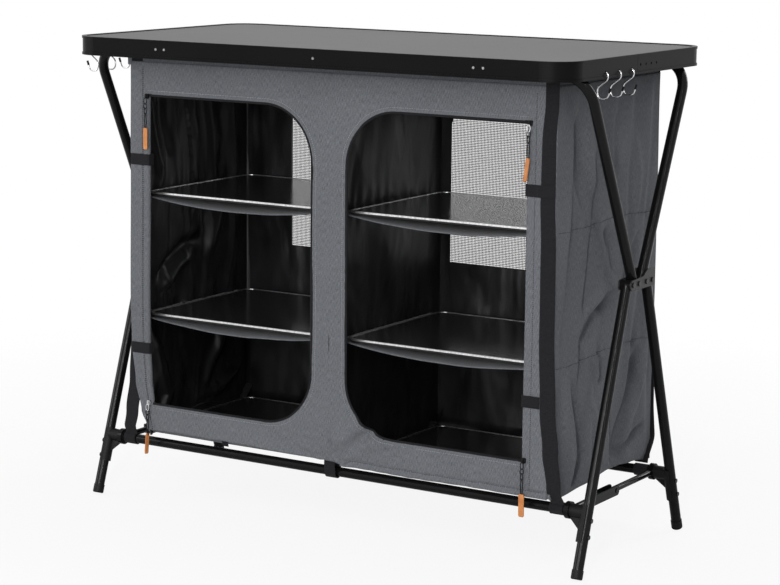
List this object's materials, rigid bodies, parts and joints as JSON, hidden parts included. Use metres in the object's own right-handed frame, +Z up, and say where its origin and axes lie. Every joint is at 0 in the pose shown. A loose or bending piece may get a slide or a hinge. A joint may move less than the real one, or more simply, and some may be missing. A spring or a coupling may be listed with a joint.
{
  "type": "folding camping cupboard",
  "caption": "Folding camping cupboard: cloth body with shelf boards and rolled doors, hung in a crossed tubular frame under a rigid table top with side hooks.",
  "frame": {"origin": "on the floor, below the middle of the whole cupboard", "axes": "+X along the width, to the right seen from the open front; -Y out of the open front; +Z up"},
  "size_m": [1.033, 0.52, 0.855],
  "materials": {
    "table_laminate": "satin grey laminate with a fine grain",
    "black_aluminium": "satin black powder coat",
    "bright_rivet": "plain bright",
    "black_paint": "satin black",
    "black_plastic": "fine matt moulding",
    "bright_wire": "polished wire",
    "black_tube": "gloss black powder coat",
    "black_webbing": "woven webbing",
    "grey_cloth": "grey-blue melange weave",
    "black_lining": "coated black cloth",
    "black_net": "open knitted net",
    "board_laminate": "grey laminate on thin board",
    "zip_metal": "die-cast bright",
    "orange_leather": "smooth dyed leather"
  },
  "bodies": {
    "cloth_body": {"front_panel": "grey_cloth", "rear_panel": "grey_cloth", "side_panel_left": "grey_cloth", "side_panel_right": "grey_cloth", "centre_divider": "black_lining", "base_sheet": "black_lining", "top_hem": "grey_cloth", "mesh_windows": "black_net", "zip_tapes": "black_webbing", "door_rolls": "grey_cloth", "webbing_straps": "black_webbing", "shelf_slings": "grey_cloth", "hub_plates_left": "black_paint", "hub_plates_right": "black_paint", "hub_bolts": "bright_rivet"},
    "front_legs": {"leg_front_left": "black_tube", "leg_front_right": "black_tube", "rail_front": "black_tube", "brackets_front": "black_plastic", "feet_front": "black_plastic", "screws_front": "bright_rivet", "rail_loops_front": "black_webbing"},
    "rear_legs": {"leg_rear_left": "black_tube", "leg_rear_right": "black_tube", "rail_rear": "black_tube", "brackets_rear": "black_plastic", "feet_rear": "black_plastic", "screws_rear": "bright_rivet", "rail_loops_rear": "black_webbing"},
    "front_bar": {"upper_tube_front": "black_tube"},
    "rear_bar": {"upper_tube_rear": "black_tube"},
    "table_top": {"table_panel": "table_laminate", "table_profile": "black_aluminium", "table_rivets": "bright_rivet", "table_battens": "black_paint", "bar_clips": "black_plastic"},
    "board_upper_left": {"board_upper_left": "board_laminate"},
    "board_upper_right": {"board_upper_right": "board_laminate"},
    "board_lower_left": {"board_lower_left": "board_laminate"},
    "board_lower_right": {"board_lower_right": "board_laminate"},
    "board_base_left": {"board_base_left": "board_laminate"},
    "board_base_right": {"board_base_right": "board_laminate"},
    "brace_front_left": {"brace_front_left": "black_tube"},
    "brace_rear_left": {"brace_rear_left": "black_tube"},
    "brace_front_right": {"brace_front_right": "black_tube"},
    "brace_rear_right": {"brace_rear_right": "black_tube"},
    "s_hook_left_1": {"s_hook_left_1": "bright_wire"},
    "s_hook_left_2": {"s_hook_left_2": "bright_wire"},
    "s_hook_left_3": {"s_hook_left_3": "bright_wire"},
    "s_hook_right_1": {"s_hook_right_1": "bright_wire"},
    "s_hook_right_2": {"s_hook_right_2": "bright_wire"},
    "s_hook_right_3": {"s_hook_right_3": "bright_wire"},
    "zip_slider_upper_left": {"zip_slider_upper_left": "zip_metal"},
    "zip_pull_upper_left": {"zip_pull_upper_left": "orange_leather"},
    "zip_slider_lower_left": {"zip_slider_lower_left": "zip_metal"},
    "zip_pull_lower_left": {"zip_pull_lower_left": "orange_leather"},
    "zip_slider_upper_right": {"zip_slider_upper_right": "zip_metal"},
    "zip_pull_upper_right": {"zip_pull_upper_right": "orange_leather"},
    "zip_slider_lower_right": {"zip_slider_lower_right": "zip_metal"},
    "zip_pull_lower_right": {"zip_pull_lower_right": "orange_leather"}
  },
  "joints": [
    {"name": "frame_fold", "type": "hinge", "parent": "cloth_body", "child": "front_legs", "pos_m": [0, -0.036, 0.473], "axis": [1, 0, 0], "range_deg": [0, 18], "deforming": ["front_panel", "zip_tapes", "door_rolls", "webbing_straps", "zip_pull_lower_left", "zip_pull_lower_right"]},
    {"name": "rear_leg_fold", "type": "hinge", "parent": "cloth_body", "child": "rear_legs", "pos_m": [0, 0.036, 0.473], "axis": [-1, 0, 0], "range_deg": [0, 18.1]},
    {"name": "front_bar_fold", "type": "hinge", "parent": "cloth_body", "child": "front_bar", "pos_m": [0, -0.014, 0.473], "axis": [-1, 0, 0], "range_deg": [0, 25.39]},
    {"name": "rear_bar_fold", "type": "hinge", "parent": "cloth_body", "child": "rear_bar", "pos_m": [0, 0.014, 0.473], "axis": [1, 0, 0], "range_deg": [0, 25.39]},
    {"name": "table_lift", "type": "slide", "parent": "cloth_body", "child": "table_top", "axis": [0, 0, 1], "range_m": [0, 0.41]},
    {"name": "board_upper_left_slide", "type": "slide", "parent": "cloth_body", "child": "board_upper_left", "axis": [0, -1, 0], "range_m": [0, 0.461]},
    {"name": "board_upper_right_slide", "type": "slide", "parent": "cloth_body", "child": "board_upper_right", "axis": [0, -1, 0], "range_m": [0, 0.461]},
    {"name": "board_lower_left_slide", "type": "slide", "parent": "cloth_body", "child": "board_lower_left", "axis": [0, -1, 0], "range_m": [0, 0.461]},
    {"name": "board_lower_right_slide", "type": "slide", "parent": "cloth_body", "child": "board_lower_right", "axis": [0, -1, 0], "range_m": [0, 0.461]},
    {"name": "board_base_left_slide", "type": "slide", "parent": "cloth_body", "child": "board_base_left", "axis": [0, -1, 0], "range_m": [0, 0.461]},
    {"name": "board_base_right_slide", "type": "slide", "parent": "cloth_body", "child": "board_base_right", "axis": [0, -1, 0], "range_m": [0, 0.461]},
    {"name": "brace_front_left_fold", "type": "hinge", "parent": "front_legs", "child": "brace_front_left", "pos_m": [-0.468, -0.15792, 0.108], "axis": [1, 0, 0], "range_deg": [0, 58.14]},
    {"name": "brace_rear_left_fold", "type": "hinge", "parent": "rear_legs", "child": "brace_rear_left", "pos_m": [-0.468, 0.15792, 0.108], "axis": [-1, 0, 0], "range_deg": [0, 58.14]},
    {"name": "brace_front_right_fold", "type": "hinge", "parent": "front_legs", "child": "brace_front_right", "pos_m": [0.468, -0.15792, 0.108], "axis": [1, 0, 0], "range_deg": [0, 58.14]},
    {"name": "brace_rear_right_fold", "type": "hinge", "parent": "rear_legs", "child": "brace_rear_right", "pos_m": [0.468, 0.15792, 0.108], "axis": [-1, 0, 0], "range_deg": [0, 58.14]},
    {"name": "s_hook_left_1_swing", "type": "hinge", "parent": "table_top", "child": "s_hook_left_1", "pos_m": [-0.498, -0.201, 0.8314], "axis": [0, 1, 0], "range_deg": [-6, 25]},
    {"name": "s_hook_left_2_swing", "type": "hinge", "parent": "table_top", "child": "s_hook_left_2", "pos_m": [-0.498, -0.151, 0.8314], "axis": [0, 1, 0], "range_deg": [-6, 25]},
    {"name": "s_hook_left_3_swing", "type": "hinge", "parent": "table_top", "child": "s_hook_left_3", "pos_m": [-0.498, -0.109, 0.8314], "axis": [0, 1, 0], "range_deg": [-6, 25]},
    {"name": "s_hook_right_1_swing", "type": "hinge", "parent": "table_top", "child": "s_hook_right_1", "pos_m": [0.498, -0.127, 0.8314], "axis": [0, 1, 0], "range_deg": [-25, 6]},
    {"name": "s_hook_right_2_swing", "type": "hinge", "parent": "table_top", "child": "s_hook_right_2", "pos_m": [0.498, -0.08, 0.8314], "axis": [0, 1, 0], "range_deg": [-25, 6]},
    {"name": "s_hook_right_3_swing", "type": "hinge", "parent": "table_top", "child": "s_hook_right_3", "pos_m": [0.498, -0.033, 0.8314], "axis": [0, 1, 0], "range_deg": [-25, 6]},
    {"name": "zip_slider_upper_left_run", "type": "slide", "parent": "cloth_body", "child": "zip_slider_upper_left", "axis": [1, 0, 0], "range_m": [0, 0.24]},
    {"name": "zip_pull_upper_left_swing", "type": "hinge", "parent": "zip_slider_upper_left", "child": "zip_pull_upper_left", "pos_m": [-0.391, -0.1824, 0.7475], "axis": [-1, 0, 0], "range_deg": [0, 80]},
    {"name": "zip_slider_lower_left_run", "type": "slide", "parent": "cloth_body", "child": "zip_slider_lower_left", "axis": [1, 0, 0], "range_m": [0, 0.24]},
    {"name": "zip_pull_lower_left_swing", "type": "hinge", "parent": "zip_slider_lower_left", "child": "zip_pull_lower_left", "pos_m": [-0.391, -0.1824, 0.1855], "axis": [-1, 0, 0], "range_deg": [0, 80]},
    {"name": "zip_slider_upper_right_run", "type": "slide", "parent": "cloth_body", "child": "zip_slider_upper_right", "axis": [-1, 0, 0], "range_m": [0, 0.24]},
    {"name": "zip_pull_upper_right_swing", "type": "hinge", "parent": "zip_slider_upper_right", "child": "zip_pull_upper_right", "pos_m": [0.391, -0.1824, 0.7475], "axis": [-1, 0, 0], "range_deg": [0, 80]},
    {"name": "zip_slider_lower_right_run", "type": "slide", "parent": "cloth_body", "child": "zip_slider_lower_right", "axis": [-1, 0, 0], "range_m": [0, 0.24]},
    {"name": "zip_pull_lower_right_swing", "type": "hinge", "parent": "zip_slider_lower_right", "child": "zip_pull_lower_right", "pos_m": [0.391, -0.1824, 0.1855], "axis": [-1, 0, 0], "range_deg": [0, 80]}
  ],
  "couplings": [
    {"joint": "rear_leg_fold", "follows": "frame_fold", "ratio": 1},
    {"joint": "front_bar_fold", "follows": "frame_fold", "ratio": 1.3994},
    {"joint": "rear_bar_fold", "follows": "frame_fold", "ratio": 1.3994},
    {"joint": "table_lift", "follows": "frame_fold", "m_per_rad": 1.2732},
    {"joint": "board_upper_left_slide", "follows": "frame_fold", "m_per_rad": 1.4324},
    {"joint": "board_upper_right_slide", "follows": "frame_fold", "m_per_rad": 1.4324},
    {"joint": "board_lower_left_slide", "follows": "frame_fold", "m_per_rad": 1.4324},
    {"joint": "board_lower_right_slide", "follows": "frame_fold", "m_per_rad": 1.4324},
    {"joint": "board_base_left_slide", "follows": "frame_fold", "m_per_rad": 1.4324},
    {"joint": "board_base_right_slide", "follows": "frame_fold", "m_per_rad": 1.4324},
    {"joint": "brace_front_left_fold", "follows": "frame_fold", "ratio": 3.2023},
    {"joint": "brace_rear_left_fold", "follows": "frame_fold", "ratio": 3.2023},
    {"joint": "brace_front_right_fold", "follows": "frame_fold", "ratio": 3.2023},
    {"joint": "brace_rear_right_fold", "follows": "frame_fold", "ratio": 3.2023}
  ]
}
